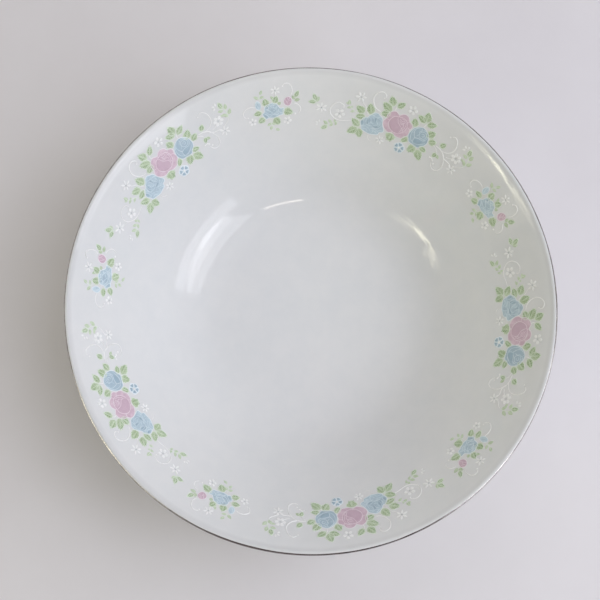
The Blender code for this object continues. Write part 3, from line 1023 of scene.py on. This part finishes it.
def smooth_piece(name, points, faces, material, crease):
    """Piece shaded smooth, but for edges sharper than the crease."""
    mesh = bpy.data.meshes.new(name)
    mesh.from_pydata(points, [], faces)
    mesh.materials.append(material)
    mesh.shade_smooth()
    mesh.set_sharp_from_angle(angle=crease)
    return link(bpy.data.objects.new(name, mesh))


def turned_piece(name, section, steps, material):
    """Finely turned closed body from a section that starts and ends on the axis."""
    rows = [(r * MM, h * MM) for r, h in section[1:-1]]
    angles = np.linspace(0, math.tau, steps, endpoint=False)
    points = [(0.0, 0.0, section[0][1] * MM)]
    for r, h in rows:
        points += [(r * math.cos(a), r * math.sin(a), h) for a in angles]
    last = len(points)
    points.append((0.0, 0.0, section[-1][1] * MM))
    faces = []
    for k in range(steps):
        n = (k + 1) % steps
        faces.append((0, 1 + k, 1 + n))
        faces.append((last, last - steps + n, last - steps + k))
    for row in range(len(rows) - 1):
        a = 1 + row * steps
        b = a + steps
        for k in range(steps):
            n = (k + 1) % steps
            faces.append((a + k, b + k, b + n, a + n))
    return smooth_piece(name, points, faces, material, BODY_CREASE)


def enamel_piece(name, drawing, azimuth, material):
    """A drawing laid on the inner wall at one spray's azimuth."""
    points = [tuple(p) for p in on_wall(azimuth, drawing.points)]
    piece = smooth_piece(name, points, drawing.faces, material, FILM_CREASE)
    tone = piece.data.attributes.new("tone", "FLOAT", "POINT")
    tone.data.foreach_set("value", np.array(drawing.tones, dtype=np.float32))
    return piece


def lip_arc():
    """Centre and radius of the lip's rounding, from the section's top and outermost points."""
    top = SECTION[LIP_TOP]
    outermost = max(SECTION, key=lambda p: p[0])
    centre = (top[0], outermost[1])
    return centre, (outermost[0] - top[0] + top[1] - outermost[1]) / 2


def platinum_piece(material):
    """The lined rim: a thin film over the lip, with given edges."""
    centre, round_radius = lip_arc()
    points = []
    for k in range(LINE_STEPS):
        turn = math.tau * k / LINE_STEPS
        wander = (3.2 * math.sin(3 * turn + 0.4) + 2.4 * math.sin(7 * turn + 2.0)
                  + 1.6 * math.sin(17 * turn + 1.1) + 1.1 * math.sin(41 * turn))
        inner_edge = LINE_EDGES[0] + wander
        outer_edge = LINE_EDGES[1] + EDGE_WANDER * wander
        for lift, order in ((LINE_LIFT, 1), (-LINE_LIFT, -1)):
            for j in range(LINE_ACROSS)[::order]:
                share = j / (LINE_ACROSS - 1)
                angle = math.radians(inner_edge + (outer_edge - inner_edge) * share)
                thin = j in (0, LINE_ACROSS - 1) and lift > 0
                reach = round_radius + (LINE_EDGE_LIFT if thin else lift)
                r = centre[0] + reach * math.cos(angle)
                points.append((r * math.cos(turn) * MM, r * math.sin(turn) * MM,
                               (centre[1] + reach * math.sin(angle)) * MM))
    ring = 2 * LINE_ACROSS
    faces = []
    for k in range(LINE_STEPS):
        a = k * ring
        b = (k + 1) % LINE_STEPS * ring
        for j in range(ring):
            n = (j + 1) % ring
            faces.append((a + j, a + n, b + n, b + j))
    return smooth_piece("platinum_line", points, faces, material, FILM_CREASE)


def build_bowl():
    """The glazed body and the platinum line on its lip."""
    body = turned_piece("porcelain_body", SECTION, BODY_STEPS, porcelain_material())
    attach(body, "root")
    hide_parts("bowl_body")
    line = platinum_piece(platinum_material())
    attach(line, "root")
    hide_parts("rim_band")


ENAMELS = {  # halo, pale, middle, deep, roughness
    "blue": ((0.74, 0.80, 0.83), (0.62, 0.74, 0.79), (0.405, 0.52, 0.595), (0.32, 0.44, 0.525),
             0.30),
    "pink": ((0.80, 0.75, 0.78), (0.80, 0.66, 0.72), (0.61, 0.45, 0.53), (0.53, 0.37, 0.46), 0.30),
    "green": ((0.70, 0.78, 0.66), (0.64, 0.74, 0.57), (0.42, 0.52, 0.33), (0.25, 0.38, 0.20), 0.32),
    "white": ((0.88, 0.88, 0.87), (0.83, 0.84, 0.83), (0.66, 0.68, 0.68), (0.46, 0.49, 0.50), 0.28),
}


def build_sprays():
    """Ten sprays, each in four enamels; colours run from the pale outlines to the deepest."""
    enamels = {colour: enamel_material(f"{colour}_enamel", *tones)
               for colour, tones in ENAMELS.items()}
    kinds = (
        ("large_spray", LARGE_AZIMUTHS, large_spray()),
        ("small_spray", SMALL_AZIMUTHS, small_spray()),
    )
    for kind, azimuths, art in kinds:
        for number, azimuth in enumerate(azimuths, start=1):
            node = f"{kind}_{number}"
            for colour, material in enamels.items():
                piece = enamel_piece(f"{node}_{colour}", getattr(art, colour), azimuth, material)
                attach(piece, "root")
                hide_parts(node)


# ---- Stage ----
RIM_CENTRE = Vector((0.0, 0.0, cad_box[1][2]))


def direction(azimuth, elevation):
    """Unit vector that leaves the bowl at the given degrees."""
    a = math.radians(azimuth)
    e = math.radians(elevation)
    return Vector((math.cos(e) * math.cos(a), math.cos(e) * math.sin(a), math.sin(e)))


def build_camera():
    """Camera above the bowl, leaning a little to the front left, with +Y upwards."""
    data = bpy.data.cameras.new("camera")
    data.sensor_width = 36.0
    data.lens = CAMERA_LENS
    camera = link(bpy.data.objects.new("camera", data))
    back = direction(CAMERA_AZIMUTH, 90 - CAMERA_TILT)
    place = RIM_CENTRE + back * CAMERA_DISTANCE * MM
    aim = RIM_CENTRE + Vector((CAMERA_AIM[0], CAMERA_AIM[1], 0.0)) * MM
    back = (place - aim).normalized()
    right = (Vector((1, 0, 0)) - back * back.x).normalized()
    up = back.cross(right)
    camera.matrix_world = Matrix.Translation(place) @ Matrix((right, up, back)).transposed().to_4x4()
    bpy.context.scene.camera = camera


def add_panel(name, start, end, width, outline, power, colour, reach=1.0):
    """Soft panel of light between two directions, facing the bowl."""
    first = direction(*start) * LIGHT_DISTANCE * reach
    last = direction(*end) * LIGHT_DISTANCE * reach
    middle = (first + last) / 2
    data = bpy.data.lights.new(name, "AREA")
    data.shape = outline
    data.size = (last - first).length
    data.size_y = width * reach
    data.energy = power * reach ** 2
    data.color = colour
    panel = link(bpy.data.objects.new(name, data))
    back = middle.normalized()
    along = (last - first).normalized()
    turn = Matrix((along, back.cross(along), back)).transposed()
    panel.matrix_world = Matrix.Translation(middle) @ turn.to_4x4()
    return panel


def build_stage():
    """Pale paper floor, soft light, mirrored lights and an evenly lit room."""
    floor_mesh = bpy.data.meshes.new("floor")
    corners = [(x * FLOOR_HALF, y * FLOOR_HALF, 0) for x, y in ((-1, -1), (1, -1), (1, 1), (-1, 1))]
    floor_mesh.from_pydata(corners, [], [(0, 1, 2, 3)])
    floor_mesh.materials.append(paper_material())
    link(bpy.data.objects.new("floor", floor_mesh))
    for light in SOFT_LIGHTS:
        add_panel(*light).visible_glossy = False
    for light in MIRRORED_LIGHTS:
        add_panel(*light, reach=MIRRORED_REACH).visible_diffuse = False
    world = bpy.data.worlds.new("room")
    world.use_nodes = True
    background = world.node_tree.nodes["Background"]
    background.inputs["Color"].default_value = (*ROOM_COLOUR, 1.0)
    background.inputs["Strength"].default_value = ROOM_STRENGTH
    bpy.context.scene.world = world
    bpy.context.scene.view_settings.view_transform = "Standard"


build_camera()
build_stage()
build_bowl()
build_sprays()
